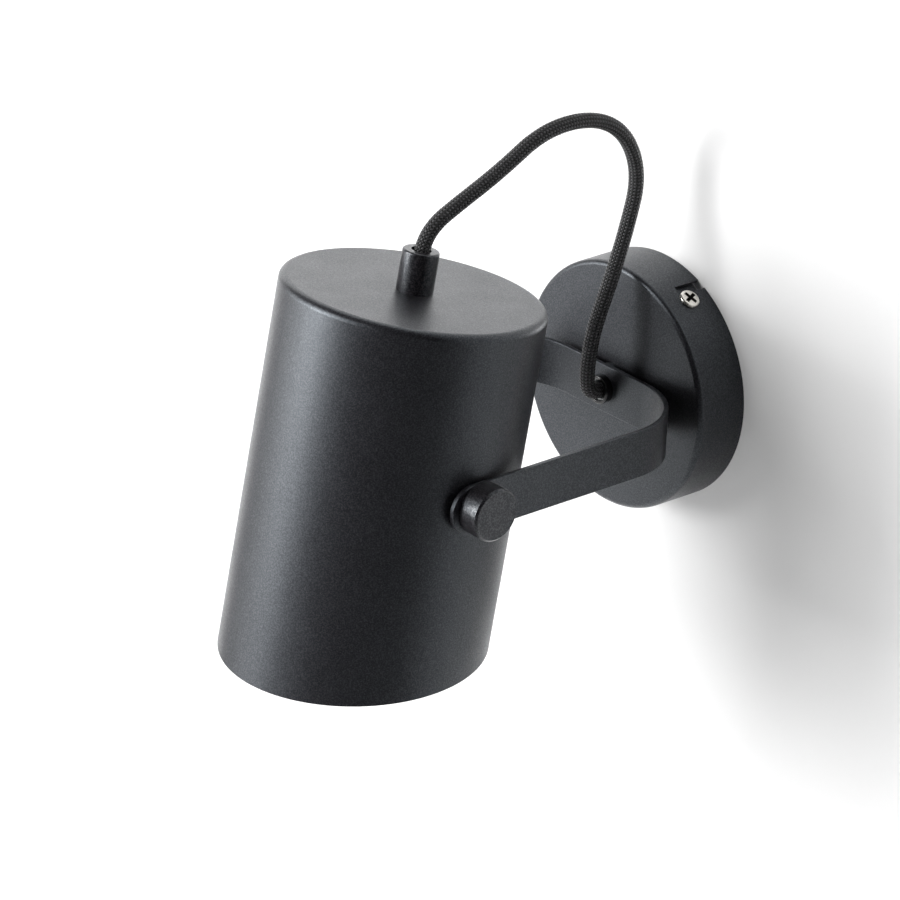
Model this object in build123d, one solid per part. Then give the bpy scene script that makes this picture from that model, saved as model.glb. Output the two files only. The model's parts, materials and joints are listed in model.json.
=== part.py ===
from build123d import *
from math import atan2, cos, degrees, pi, radians, sin, sqrt, tan
import os

# Pivoting spotlight wall light, in millimetres.
# Origin: centre of the wall cup's back face, which lies on the wall (the plane Y = 0).
# X runs across, the light stands out along -Y, +Z is up.

# Wall cup
cup_radius = 50.0
cup_depth = 23.0
cup_wall = 1.2
cup_edge_radius = 2.0

# Side screws and the L-shaped slots that the cup is hung by
screw_angle = 32.0  # round the cup from +Z towards +X
screw_from_wall = 10.5
side_screw_radius = 2.0
side_screw_head_radius = 4.0
side_screw_head_height = 2.2
side_screw_length = 6.0
head_round_share = 0.6  # of a screw head's height
cross_reach_share = 1.1  # of the head's radius
cross_width_share = 0.22
cross_depth_share = 0.6  # of the head's height
slot_clearance = 0.1
slot_entry_before_screw = 5.2  # arc length between the slot's mouth and the screw

# Wall bracket
bracket_width = 20.0
bracket_thickness = 1.5
bracket_ear_height = 15.0
bracket_bend = 1.0
bracket_to_cup = 0.25
wall_screw_radius = 2.25
wall_screw_circle = 36.0
supply_hole_radius = 6.5

# Terminal block, earth screw and cores
block_from_centre = 12.5
block_length = 17.0
block_height = 12.0
block_pitch = 8.0
block_poles = 3
block_edge_radius = 0.8
block_groove_width = 0.8
block_groove_depth = 1.2
bore_height = 4.0
bore_radius = 1.9
tube_wall = 0.55
tube_inset = 1.0
clamp_screw_radius = 1.2
clamp_screw_offset = 4.2
clamp_head_height = 1.6
clamp_slot = 0.6
well_depth = 4.5
earth_screw_radius = 1.75
earth_screw_from_centre = 22.0
earth_head_radius = 3.4
earth_head_height = 2.2
earth_washer_radius = 4.5
earth_washer_thickness = 1.0
washer_lug = (0.8, 5.0, 2.4)
core_radius = 1.0
core_ring = 1.5
core_gap = 0.2  # between the cord's end and the core's own piece
core_drop = 0.3  # how far above the bores the core turns
core_in_block = 3.5  # also the straight run in front of the block

# Swivel: a hollow threaded tube carries the yoke and lets the cord through
tube_radius = 5.0
tube_bore = 3.9
tube_reach_in = 10.0  # behind the cup's front
thread_gap = 0.02
running_gap = 0.05
spacer_thickness = 3.0
spacer_radius = 9.0
friction_washer_thickness = 0.8
stop_washer_thickness = 1.0
stop_tab_width = 4.0
stop_stud_circle = 12.0
stop_stud_radius = 1.2
stop_stud_length = 3.0
nut_across_flats = 14.0
swivel_nut_thickness = 4.0
bushing_radius = 5.8
bushing_mouth = 4.4  # radius of its hole in front of the tube
bushing_thread = 1.9
bushing_lip = 1.4
bushing_edge_radius = 0.5

# Yoke: one bent strip with rounded ends
strip_width = 19.5
strip_thickness = 2.0
strip_edge_radius = 0.35
yoke_bend = 30.5
pivot_from_wall = 139.75
strip_past_pivot = 3.75

# Shade
shade_radius = 51.25
shade_wall = 1.2
shade_edge_radius = 3.0
shade_above_pivot = 67.0
shade_below_pivot = 75.4
mouth_slant = 11.4
shade_tilt = 9.1  # the top leans towards the wall
arm_gap = 1.0

# Pivot screws with their knobs
stud_radius = 3.0
stud_reach_in = 7.5
knob_radius = 10.5
knob_length = 9.3
knob_chamfer = 0.8
knob_cap = 3.5
side_spacer_radius = 8.0
pivot_nut_across_flats = 10.0
pivot_nut_thickness = 5.0
pivot_nut_gap = 0.45

# Cord grip on the shade's top
grip_radius = 7.15
grip_height = 16.1
grip_edge_radius = 0.8
grip_thread_depth = 8.0
grub_radius = 2.0
grub_height = 11.0
grub_slot_width = 0.8
grub_slot_depth = 1.0
grub_below_surface = 0.2

# Lampholder
inner_washer_thickness = 1.0
lamp_nut_thickness = 3.0
nut_to_collar = 0.3
collar_radius = 7.5
collar_height = 8.0
tube_above_dome = 1.0
tube_below_grip_thread = 0.5
cap_dome_height = 9.5
dome_bulge_share = 0.25  # of the dome's height, how far its widest curve stands in
dome_curve_share = 0.3
cap_radius = 19.5
holder_wall = 1.6
holder_length = 36.0
holder_rim = 1.0
insert_gap = 0.15
insert_thickness = 11.0
socket_radius = 13.3
socket_wall = 0.4
socket_wave = 0.35
socket_pitch = 3.6
socket_turns = 6
socket_floor_hole = 8.0
contact_length = 9.0
contact_width = 5.0
contact_thickness = 0.6
contact_button = 3.0
contact_edge_radius = 0.8
contact_recess = (3.0, 1.0, 2.5)  # longer and wider than the contact, and how deep
holder_screw_radius = 1.5
holder_screw_head = 1.4
holder_screw_play = 0.3
holder_screw_short = 1.0  # of the block's underside
lead_turns = {"live_lead": 0, "earth_lead": 90, "neutral_lead": 180}
lead_ring = 11.0
lead_well = 5.0
lead_well_depth = 3.0
lamp_tail_below_tube = 1.2
lead_straight = 3.0
lead_above_block = 2.4
lead_seat = 0.1

# Cord
cord_radius = 3.0
cord_start_from_wall = 27.0
cord_tail_above_pivot = 76.4
cord_route = [
    (0, -27, 0),
    (0, -32, 0),
    (0.5, -36.5, 3.5),
    (1, -37.5, 11.5),
    (3, -38, 26.5),
    (5, -33, 46.5),
    (5.5, -26, 68.5),
    (5.5, -21, 90),
    (4.5, -29, 109),
    (3.5, -46, 118.5),
    (2.5, -70, 118),
    (1.5, -92, 107),
    (0.5, -110.5, 97.5),
    (0, -121, 91.5),
    (0, -126.31, 83.93),
    (0, -127.65, 75.54),
]
cord_bend_share = 0.45  # of the shorter run beside a bend
cord_tail_past_tube = 4.0
cord_clamp_radius = 6.0
cord_clamp_length = 3.0
cord_clamp_slit = 1.0

# Frames: each has its own z axis along the pieces that stand on it
out_of_wall = Plane(origin=(0, 0, 0), x_dir=(1, 0, 0), z_dir=(0, -1, 0))
head = Plane(
    origin=(0, -pivot_from_wall, 0),
    x_dir=(1, 0, 0),
    z_dir=(0, sin(radians(shade_tilt)), cos(radians(shade_tilt))),
)
from_bottom = (Align.CENTER, Align.CENTER, Align.MIN)
from_top = (Align.CENTER, Align.CENTER, Align.MAX)

cup_inside = cup_depth - cup_wall
tube_inner_end = cup_depth - tube_reach_in
cord_tail_end = tube_inner_end - cord_tail_past_tube
yoke_back = cup_depth + spacer_thickness
yoke_front = yoke_back + strip_thickness
arm_inside = shade_radius + arm_gap
arm_outside = arm_inside + strip_thickness
shade_inner_radius = shade_radius - shade_wall
shade_inside_top = shade_above_pivot - shade_wall


def disc(radius, height, at=0.0):
    return Pos(0, 0, at) * Cylinder(radius, height, align=from_bottom)


def ring(outer, inner, height, at=0.0):
    return disc(outer, height, at) - disc(inner, height, at)


def hexagon(across_flats, bore, height, at=0.0):
    blank = extrude(RegularPolygon(across_flats / 2, 6, major_radius=False), height)
    return Pos(0, 0, at) * blank - disc(bore, height, at)


def rounded_top(shape, radius):
    return fillet(shape.edges().group_by(Axis.Z)[-1], radius)


def round_the_cup(angle, radius):
    """A frame on the cup's side: z points outwards, x runs away from the wall."""
    turn = radians(angle)
    outwards = (sin(turn), 0, cos(turn))
    return Plane(origin=[radius * v for v in outwards], x_dir=(0, -1, 0), z_dir=outwards)


def on_bracket(shape):
    """Bracket pieces are drawn with x along the strip and z out of the wall."""
    return out_of_wall * Rot(0, 0, 90 - screw_angle) * shape


def wire(points, radius, share):
    """A tube on straight runs joined by tangent arcs."""
    spots = [Vector(*p) for p in points]
    runs = [b - a for a, b in zip(spots, spots[1:])]
    bends = []
    for before, after in zip(runs, runs[1:]):
        half_turn = radians(before.get_angle(after)) / 2
        bends.append(share * min(before.length, after.length) / tan(half_turn))
    route = FilletPolyline(*spots, radius=bends)
    profile = Plane(origin=spots[0], z_dir=runs[0]) * Circle(radius)
    return sweep(profile, path=route), route, bends


# Wall cup and what holds it

def wall_cup():
    shell = rounded_top(disc(cup_radius, cup_depth), cup_edge_radius)
    hollow = rounded_top(disc(cup_radius - cup_wall, cup_inside), cup_edge_radius - cup_wall)
    cup = out_of_wall * (shell - hollow - disc(tube_radius + running_gap, cup_depth))
    slot = side_screw_radius + slot_clearance
    to_entry = degrees(slot_entry_before_screw / cup_radius)
    for angle in (screw_angle, screw_angle + 180):
        entry = round_the_cup(angle - to_entry, cup_radius)
        cup -= entry * Box(2 * (screw_from_wall + slot), 2 * slot, 4 * cup_wall)
        foot = round_the_cup(angle - to_entry / 2, cup_radius)
        foot_length = slot_entry_before_screw + 2 * slot
        cup -= foot * Pos(screw_from_wall, 0, 0) * Box(2 * slot, foot_length, 4 * cup_wall)
    return cup


def bracket():
    half = sqrt((cup_radius - cup_wall) ** 2 - (bracket_width / 2) ** 2) - bracket_to_cup
    outside = Box(2 * half, bracket_width, bracket_ear_height, align=from_bottom)
    corners = outside.edges().filter_by(Axis.Y).group_by(Axis.Z)[0]
    outside = fillet(corners, bracket_bend + bracket_thickness)
    inside = Pos(0, 0, bracket_thickness) * Box(
        2 * (half - bracket_thickness), bracket_width, bracket_ear_height, align=from_bottom
    )
    corners = inside.edges().filter_by(Axis.Y).group_by(Axis.Z)[0]
    strip = outside - fillet(corners, bracket_bend)
    ear_corners = strip.edges().filter_by(Axis.X).group_by(Axis.Z)[-1]
    strip = fillet(ear_corners, bracket_width / 5)
    strip -= disc(supply_hole_radius, bracket_thickness)
    strip -= Pos(-earth_screw_from_centre, 0, 0) * disc(earth_screw_radius + thread_gap, bracket_thickness)
    for side in (-1, 1):
        strip -= Pos(side * wall_screw_circle, 0, 0) * disc(wall_screw_radius, bracket_thickness)
    strip -= Pos(0, 0, screw_from_wall) * Rot(0, 90, 0) * Cylinder(side_screw_radius + thread_gap, 2 * half)
    return on_bracket(strip)


def pan_head(radius, height, shank_radius, shank_length):
    """A cross-head screw that stands on z = 0 with its shank below."""
    top = rounded_top(disc(radius, height), head_round_share * height)
    arm = Box(cross_reach_share * radius, cross_width_share * radius, 2 * cross_depth_share * height)
    for turn in (0, 90):
        top -= Pos(0, 0, height) * Rot(0, 0, turn) * arm
    return top + Cylinder(shank_radius, shank_length, align=from_top)


def side_screws():
    screw = pan_head(
        side_screw_head_radius, side_screw_head_height, side_screw_radius, side_screw_length
    )
    return [
        round_the_cup(angle, cup_radius) * Pos(screw_from_wall, 0, 0) * screw
        for angle in (screw_angle, screw_angle + 180)
    ]


block_middle = block_from_centre + block_length / 2
bore_from_wall = bracket_thickness + bore_height
poles = [block_pitch * (n - (block_poles - 1) / 2) for n in range(block_poles)]
clamp_screws = [(block_middle + s * clamp_screw_offset, y) for y in poles for s in (-1, 1)]


def terminal_block():
    body = Pos(block_middle, 0, bracket_thickness) * Box(
        block_length, block_poles * block_pitch, block_height, align=from_bottom
    )
    body = fillet(body.edges().filter_by(Axis.X), block_edge_radius)
    top = bracket_thickness + block_height
    for y in poles:
        body -= Pos(block_middle, y, bore_from_wall) * Rot(0, 90, 0) * Cylinder(bore_radius, block_length)
    for x, y in clamp_screws:
        body -= Pos(x, y, bore_from_wall) * disc(bore_radius, top - bore_from_wall)
    groove = Box(block_length, block_groove_width, 2 * block_groove_depth)
    for y in poles[1:]:
        body -= Pos(block_middle, y - block_pitch / 2, top) * groove
    return on_bracket(body)


def terminal_tubes():
    outer = bore_radius - thread_gap
    length = block_length - 2 * tube_inset
    blank = Cylinder(outer, length) - Cylinder(outer - tube_wall, length)
    tubes = []
    for y in poles:
        tube = Pos(block_middle, y, bore_from_wall) * Rot(0, 90, 0) * blank
        for x, screw_y in clamp_screws:
            if screw_y == y:
                tube -= Pos(x, y, bore_from_wall) * disc(clamp_screw_radius + thread_gap, bore_radius)
        tubes.append(on_bracket(tube))
    return tubes


def terminal_screws():
    screws = []
    head_top = bracket_thickness + block_height - well_depth
    head_radius = bore_radius - running_gap - thread_gap
    tip = bore_from_wall + core_radius + running_gap
    for x, y in clamp_screws:
        screw = disc(clamp_screw_radius, head_top - tip, tip)
        screw += disc(head_radius, clamp_head_height, head_top - clamp_head_height)
        screw -= Pos(0, 0, head_top) * Box(4 * bore_radius, clamp_slot, 2 * clamp_slot)
        screws.append(on_bracket(Pos(x, y, 0) * screw))
    return screws


def earth_screw():
    washer_top = bracket_thickness + earth_washer_thickness
    screw = pan_head(earth_head_radius, earth_head_height, earth_screw_radius, washer_top)
    return on_bracket(Pos(-earth_screw_from_centre, 0, washer_top) * screw)


def earth_washer():
    washer = ring(earth_washer_radius, earth_screw_radius + running_gap, earth_washer_thickness)
    lug_place = earth_washer_radius - washer_lug[0] / 2
    for side in (-1, 1):
        washer += Pos(side * lug_place, 0, 0) * Box(*washer_lug, align=from_bottom)
    return on_bracket(Pos(-earth_screw_from_centre, 0, bracket_thickness) * washer)


def core(pole, turn):
    """One insulated core, from the cord's end into its pole of the terminal block."""
    x, y = core_ring * cos(radians(turn)), core_ring * sin(radians(turn))
    lane = poles[pole]
    points = [
        (x, y, cord_tail_end - core_gap),
        (x, y, bore_from_wall + core_drop),
        (block_from_centre - core_in_block, lane, bore_from_wall),
        (block_from_centre + core_in_block, lane, bore_from_wall),
    ]
    return on_bracket(wire(points, core_radius, cord_bend_share)[0])


def stop_stud():
    stud = disc(stop_stud_radius, stop_stud_length, cup_inside - stop_stud_length)
    return out_of_wall * Pos(0, -stop_stud_circle, 0) * stud


# Swivel and yoke

def yoke():
    reach = pivot_from_wall + strip_past_pivot + strip_width / 2

    def plan(half, back, bend):
        outline = Pos(0, -(back + reach) / 2) * Rectangle(2 * half, reach - back)
        corners = outline.vertices().group_by(Axis.Y)[-1]
        return extrude(fillet(corners, bend), strip_width / 2, both=True)

    strip = plan(arm_outside, yoke_back, yoke_bend + strip_thickness)
    strip -= plan(arm_inside, yoke_front, yoke_bend)
    end = pivot_from_wall + strip_past_pivot
    side_view = Pos(-end / 2, 0) * Rectangle(end, strip_width) + Pos(-end, 0) * Circle(strip_width / 2)
    strip &= Plane.YZ * extrude(side_view, arm_outside, both=True)
    strip = fillet(strip.faces().filter_by(Axis.Z).edges(), strip_edge_radius)
    strip -= out_of_wall * disc(tube_radius + thread_gap, yoke_front)
    stud_holes = Rot(0, 90, 0) * Cylinder(stud_radius + running_gap, 3 * arm_outside)
    return strip - Pos(0, -pivot_from_wall, 0) * stud_holes


def yoke_spacer():
    free = spacer_thickness - running_gap
    return out_of_wall * ring(spacer_radius, tube_radius + running_gap, free, cup_depth + running_gap)


swivel_tube_end = yoke_front + bushing_thread
friction_washer_at = cup_inside - running_gap - friction_washer_thickness
stop_washer_at = friction_washer_at - stop_washer_thickness
swivel_nut_at = stop_washer_at - swivel_nut_thickness


def swivel_tube():
    return out_of_wall * ring(tube_radius, tube_bore, swivel_tube_end - tube_inner_end, tube_inner_end)


def front_bushing():
    height = swivel_tube_end + bushing_lip - yoke_front
    cap = ring(bushing_radius, bushing_mouth, height, yoke_front)
    cap = fillet(cap.edges().group_by(Axis.Z)[-1], bushing_edge_radius)
    return out_of_wall * (cap - disc(tube_radius + thread_gap, swivel_tube_end - yoke_front, yoke_front))


def friction_washer():
    return out_of_wall * ring(
        spacer_radius, tube_radius + running_gap, friction_washer_thickness, friction_washer_at
    )


def stop_washer():
    reach = stop_stud_circle + stop_stud_radius
    tab = Box(stop_tab_width, reach, stop_washer_thickness, align=(Align.CENTER, Align.MIN, Align.MIN))
    plate = disc(spacer_radius, stop_washer_thickness) + tab
    plate -= disc(tube_radius + thread_gap, stop_washer_thickness)
    return out_of_wall * Pos(0, 0, stop_washer_at) * plate


def swivel_nut():
    return out_of_wall * hexagon(
        nut_across_flats, tube_radius + thread_gap, swivel_nut_thickness, swivel_nut_at
    )


def cord_clamp():
    at = tube_inner_end - running_gap - cord_clamp_length
    collar = ring(cord_clamp_radius, cord_radius + thread_gap, cord_clamp_length, at)
    slit = Box(cord_clamp_slit, cord_clamp_radius, 2 * cord_clamp_length)
    return out_of_wall * (collar - Pos(0, cord_clamp_radius / 2, at) * slit)


def cord_tail_wall():
    return out_of_wall * disc(cord_radius, cord_start_from_wall - cord_tail_end, cord_tail_end)


# Shade and cord grip

def shade():
    length = 2 * shade_radius + shade_below_pivot + shade_above_pivot
    outside = rounded_top(disc(shade_radius, length, shade_above_pivot - length), shade_edge_radius)
    inside = rounded_top(
        disc(shade_inner_radius, length, shade_inside_top - length), shade_edge_radius - shade_wall
    )
    mouth = Plane(
        origin=(0, 0, -shade_below_pivot),
        z_dir=(0, -sin(radians(mouth_slant)), cos(radians(mouth_slant))),
    )
    body = split(outside - inside, bisect_by=mouth, keep=Keep.TOP)
    body -= disc(tube_radius + running_gap, shade_wall, shade_inside_top)
    body -= Rot(0, 90, 0) * Cylinder(stud_radius + 4 * running_gap, 3 * shade_radius)
    return head * body


def cord_grip():
    body = rounded_top(disc(grip_radius, grip_height, shade_above_pivot), grip_edge_radius)
    body -= disc(tube_bore, grip_height, shade_above_pivot)
    body -= disc(tube_radius + thread_gap, grip_thread_depth, shade_above_pivot)
    hole = disc(grub_radius + thread_gap, grip_radius)
    body -= Pos(0, 0, shade_above_pivot + grub_height) * Rot(-90, 0, 0) * hole
    return head * body


def grip_grub_screw():
    start = cord_radius + running_gap
    screw = disc(grub_radius, grip_radius - grub_below_surface - start, start)
    screw -= Pos(0, 0, grip_radius) * Box(4 * grub_radius, grub_slot_width, 2 * grub_slot_depth)
    return head * Pos(0, 0, shade_above_pivot + grub_height) * Rot(-90, 0, 0) * screw


inner_washer_at = shade_inside_top - inner_washer_thickness
lamp_nut_at = inner_washer_at - lamp_nut_thickness
collar_top = lamp_nut_at - nut_to_collar
dome_top = collar_top - collar_height
dome_bottom = dome_top - cap_dome_height
lamp_tube_bottom = dome_top + tube_above_dome
lamp_tube_top = shade_above_pivot + grip_thread_depth - tube_below_grip_thread


def lamp_tube():
    return head * ring(tube_radius, tube_bore, lamp_tube_top - lamp_tube_bottom, lamp_tube_bottom)


def inner_washer():
    washer = ring(spacer_radius, tube_radius + running_gap, inner_washer_thickness, inner_washer_at)
    return head * washer


def lamp_nut():
    return head * hexagon(nut_across_flats, tube_radius + thread_gap, lamp_nut_thickness, lamp_nut_at)


def lampholder_cap():
    def dome(radius, top, bottom):
        height = top - bottom
        shoulder = (radius, bottom + height / 3)
        bulge = (radius - height * dome_bulge_share, top - height * dome_curve_share)
        crown = (radius / 2, top)
        outline = Polyline((0, bottom), (radius, bottom), shoulder)
        outline += ThreePointArc(shoulder, bulge, crown)
        outline += Polyline(crown, (0, top), (0, bottom))
        return revolve(Plane.XZ * make_face(outline.edges()), Axis.Z)

    body = dome(cap_radius, dome_top, dome_bottom) + disc(collar_radius, collar_height, dome_top)
    body -= dome(cap_radius - holder_wall, dome_top - holder_wall, dome_bottom)
    body -= disc(tube_radius + thread_gap, collar_height + holder_wall, dome_top - holder_wall)
    return head * body


def lampholder_shell():
    bottom = dome_bottom - holder_length
    tube = disc(cap_radius, holder_length, bottom)
    tube += disc(cap_radius + holder_rim, 3 * holder_rim, bottom)
    return head * (tube - disc(cap_radius - holder_wall, holder_length, bottom))


insert_top = dome_bottom
insert_bottom = insert_top - insert_thickness


def at_lead(turn, shape, ring_radius=lead_ring):
    """A shape moved out from the lampholder's axis to where one lead ends."""
    return Rot(0, 0, turn) * Pos(ring_radius, 0, 0) * shape


def contact_block():
    body = disc(cap_radius - holder_wall - insert_gap, insert_thickness, insert_bottom)
    longer, wider, depth = contact_recess
    body -= Pos(0, 0, insert_bottom) * Box(contact_length + longer, contact_width + wider, 2 * depth)
    well = Pos(0, 0, insert_top) * Box(lead_well, lead_well, 2 * lead_well_depth)
    hole = disc(holder_screw_radius + thread_gap, insert_thickness, insert_bottom)
    for turn in lead_turns.values():
        body -= at_lead(turn, well + hole)
    return head * body


def screw_shell():
    """The brass socket: a cup with a round-bottomed thread, open downwards."""
    length = socket_turns * socket_pitch
    base = insert_bottom - running_gap
    steps = 4 * socket_turns

    def wave(offset):
        spots = []
        for n in range(steps + 1):
            down = n * length / steps
            swing = socket_wave * cos(2 * pi * down / socket_pitch)
            spots.append((socket_radius + offset + swing, base - down))
        return spots

    outer, inner = wave(socket_wall), wave(0)
    outline = Spline(*outer) + Line(outer[-1], inner[-1]) + Spline(*inner) + Line(inner[0], outer[0])
    wall = revolve(Plane.XZ * make_face(outline.edges()), Axis.Z)
    floor = ring(inner[0][0] + thread_gap / 2, socket_floor_hole, socket_wall, base - socket_wall)
    return head * (wall + floor)


def centre_contact():
    at = insert_bottom + contact_recess[2] - contact_thickness
    strip = Box(contact_length, contact_width, contact_thickness, align=from_bottom)
    button = rounded_top(disc(contact_width / 3, contact_button), contact_edge_radius)
    return head * Pos(0, 0, at) * (strip + Rot(180, 0, 0) * button)


def holder_screws():
    well_floor = insert_top - lead_well_depth
    tip = insert_bottom + holder_screw_short
    screw = disc(holder_screw_radius, well_floor - tip, tip)
    screw += disc(lead_well / 2 - holder_screw_play, holder_screw_head, well_floor)
    return [head * at_lead(turn, screw) for turn in lead_turns.values()]


def holder_lead(turn):
    """One insulated lead, from the cord's end down to its screw."""
    start = lamp_tube_bottom - lamp_tail_below_tube - core_gap
    end = insert_top - lead_well_depth + holder_screw_head
    points = [
        (core_ring, 0, start),
        (core_ring, 0, start - lead_straight),
        (lead_ring, 0, insert_top + lead_above_block),
        (lead_ring, 0, end + lead_seat),
    ]
    return head * Rot(0, 0, turn) * wire(points, core_radius, cord_bend_share)[0]


def cord_tail_lamp():
    bottom = lamp_tube_bottom - lamp_tail_below_tube
    return head * disc(cord_radius, cord_tail_above_pivot - bottom, bottom)


# Pivots, one each side

def each_side(shape):
    """A piece drawn along +Z from the shade's axis, at both ends of the pivot axis."""
    return [head * Rot(0, side * 90, 0) * shape for side in (1, -1)]


pivot_nut_at = shade_inner_radius - pivot_nut_gap - pivot_nut_thickness
stud_end = arm_outside + running_gap + knob_length - knob_cap


def pivot_nuts():
    return each_side(
        hexagon(pivot_nut_across_flats, stud_radius + thread_gap, pivot_nut_thickness, pivot_nut_at)
    )


def side_spacers():
    top = arm_inside - running_gap
    blank = ring(side_spacer_radius, stud_radius + running_gap, 3 * arm_gap, top - 3 * arm_gap)
    return each_side(blank - Rot(0, 90, 0) * Cylinder(shade_radius, 4 * side_spacer_radius))


def pivot_stud():
    start = shade_inner_radius - stud_reach_in
    return disc(stud_radius, stud_end - start, start)


def knob():
    base = arm_outside + running_gap
    body = disc(knob_radius, knob_length, base)
    body = chamfer(body.edges().group_by(Axis.Z)[-1], knob_chamfer)
    return body - disc(stud_radius + thread_gap, stud_end - base, base)


cord, cord_line, cord_bends = wire(cord_route, cord_radius, cord_bend_share)

knob_right, knob_left = each_side(knob())
stud_right, stud_left = each_side(pivot_stud())

parts = {
    "wall_cup": wall_cup(),
    "wall_bracket": bracket(),
    "side_screws": side_screws(),
    "terminal_block": terminal_block(),
    "terminal_tubes": terminal_tubes(),
    "terminal_screws": terminal_screws(),
    "earth_screw": earth_screw(),
    "earth_washer": earth_washer(),
    "live_core": core(0, 270),
    "earth_core": core(1, 0),
    "neutral_core": core(2, 90),
    "swivel_stop_stud": stop_stud(),
    "yoke": yoke(),
    "yoke_spacer": yoke_spacer(),
    "swivel_tube": swivel_tube(),
    "front_bushing": front_bushing(),
    "friction_washer": friction_washer(),
    "swivel_stop_washer": stop_washer(),
    "swivel_nut": swivel_nut(),
    "cord_clamp": cord_clamp(),
    "cord_tail_wall": cord_tail_wall(),
    "cord": cord,
    "shade": shade(),
    "cord_grip": cord_grip(),
    "grip_grub_screw": grip_grub_screw(),
    "lamp_tube": lamp_tube(),
    "inner_washer": inner_washer(),
    "lamp_nut": lamp_nut(),
    "lampholder_cap": lampholder_cap(),
    "lampholder_shell": lampholder_shell(),
    "contact_block": contact_block(),
    "screw_shell": screw_shell(),
    "centre_contact": centre_contact(),
    "holder_screws": holder_screws(),
    **{name: holder_lead(turn) for name, turn in lead_turns.items()},
    "cord_tail_lamp": cord_tail_lamp(),
    "pivot_nuts": pivot_nuts(),
    "side_spacers": side_spacers(),
    "knob_right": knob_right,
    "stud_right": stud_right,
    "knob_left": knob_left,
    "stud_left": stud_left,
}

os.makedirs("parts", exist_ok=True)
for name, shape in parts.items():
    solids = shape if isinstance(shape, list) else [shape]
    body = Compound(children=[s for piece in solids for s in piece.solids()])
    export_step(body, f"parts/{name}.step")

volume = pi * cord_radius**2 * cord_line.length
print("cord length", round(cord_line.length, 1), "radii", [round(r, 1) for r in cord_bends])
print("cord volume", round(cord.volume, 1), "section times length", round(volume, 1))
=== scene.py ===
import json
import math

import bmesh
import bpy
from mathutils import Matrix, Vector


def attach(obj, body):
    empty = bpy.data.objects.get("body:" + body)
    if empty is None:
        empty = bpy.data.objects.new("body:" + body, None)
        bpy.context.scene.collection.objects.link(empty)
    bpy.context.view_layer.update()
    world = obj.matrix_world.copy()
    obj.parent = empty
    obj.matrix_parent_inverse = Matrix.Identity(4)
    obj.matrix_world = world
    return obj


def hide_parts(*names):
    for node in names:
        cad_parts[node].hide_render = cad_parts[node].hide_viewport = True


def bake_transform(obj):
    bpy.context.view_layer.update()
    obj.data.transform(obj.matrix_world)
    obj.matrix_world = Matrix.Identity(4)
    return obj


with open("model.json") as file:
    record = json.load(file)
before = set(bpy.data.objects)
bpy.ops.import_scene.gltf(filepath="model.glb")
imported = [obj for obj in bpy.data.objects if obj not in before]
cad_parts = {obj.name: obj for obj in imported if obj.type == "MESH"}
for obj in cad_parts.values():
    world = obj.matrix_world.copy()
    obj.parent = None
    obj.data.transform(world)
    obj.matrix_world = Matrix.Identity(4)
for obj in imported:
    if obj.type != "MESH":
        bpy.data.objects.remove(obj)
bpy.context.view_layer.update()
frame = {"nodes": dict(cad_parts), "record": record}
nodes = frame["nodes"]
mm = 0.001
print("frame loaded:", len(nodes), "nodes")


class Wire:
    # a socket that can be used in sums: each operator adds one Math node
    def __init__(self, graph, socket):
        self.graph = graph
        self.socket = socket

    def maths(self, operation, *others):
        inputs = dict(enumerate((self, *others)))
        return self.graph.out("ShaderNodeMath", {"operation": operation}, inputs)

    def __add__(self, other):
        return self.maths("ADD", other)

    def __radd__(self, other):
        return self.maths("ADD", other)

    def __sub__(self, other):
        return self.maths("SUBTRACT", other)

    def __rsub__(self, other):
        return self.graph.out("ShaderNodeMath", {"operation": "SUBTRACT"}, {0: other, 1: self})

    def __mul__(self, other):
        return self.maths("MULTIPLY", other)

    def __rmul__(self, other):
        return self.maths("MULTIPLY", other)

    def __truediv__(self, other):
        return self.maths("DIVIDE", other)

    def __rtruediv__(self, other):
        return self.graph.out("ShaderNodeMath", {"operation": "DIVIDE"}, {0: other, 1: self})


class Graph:
    # a node tree, for a material or for geometry
    def __init__(self, tree):
        self.tree = tree

    def node(self, kind, settings=None, inputs=None):
        made = self.tree.nodes.new(kind)
        for key, value in (settings or {}).items():
            setattr(made, key, value)
        for key, value in (inputs or {}).items():
            target = made.inputs[key]
            if isinstance(value, Wire):
                self.tree.links.new(value.socket, target)
            else:
                target.default_value = value
        return made

    def out(self, kind, settings=None, inputs=None, output=0):
        return Wire(self, self.node(kind, settings, inputs).outputs[output])

    def vector(self, operation, *others):
        return self.out("ShaderNodeVectorMath", {"operation": operation}, dict(enumerate(others)))

    def scaled(self, direction, factor):
        inputs = {"Vector": direction, "Scale": factor}
        return self.out("ShaderNodeVectorMath", {"operation": "SCALE"}, inputs)

    def attribute(self, name, kind="FLOAT"):
        return self.out("GeometryNodeInputNamedAttribute", {"data_type": kind}, {"Name": name})

    def keep(self, geometry, name, value, kind="FLOAT", domain="POINT"):
        settings = {"data_type": kind, "domain": domain}
        inputs = {"Geometry": geometry, "Name": name, "Value": value}
        return self.out("GeometryNodeStoreNamedAttribute", settings, inputs)


def newMaterial(name):
    made = bpy.data.materials.new(name)
    made.use_nodes = True
    made.node_tree.nodes.clear()
    return made, Graph(made.node_tree)


def newObject(name, data):
    obj = bpy.data.objects.new(name, data)
    bpy.context.collection.objects.link(obj)
    return obj


def growTree(name, sockets):
    # a geometry tree whose named inputs are the sizes of one kind of piece
    tree = bpy.data.node_groups.new(name, "GeometryNodeTree")
    for way in ("INPUT", "OUTPUT"):
        tree.interface.new_socket("Geometry", in_out=way, socket_type="NodeSocketGeometry")
    for label, kind in sockets.items():
        tree.interface.new_socket(label, in_out="INPUT", socket_type="NodeSocket" + kind)
    graph = Graph(tree)
    source = graph.node("NodeGroupInput")
    return graph, {label: Wire(graph, source.outputs[label]) for label in sockets}


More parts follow.
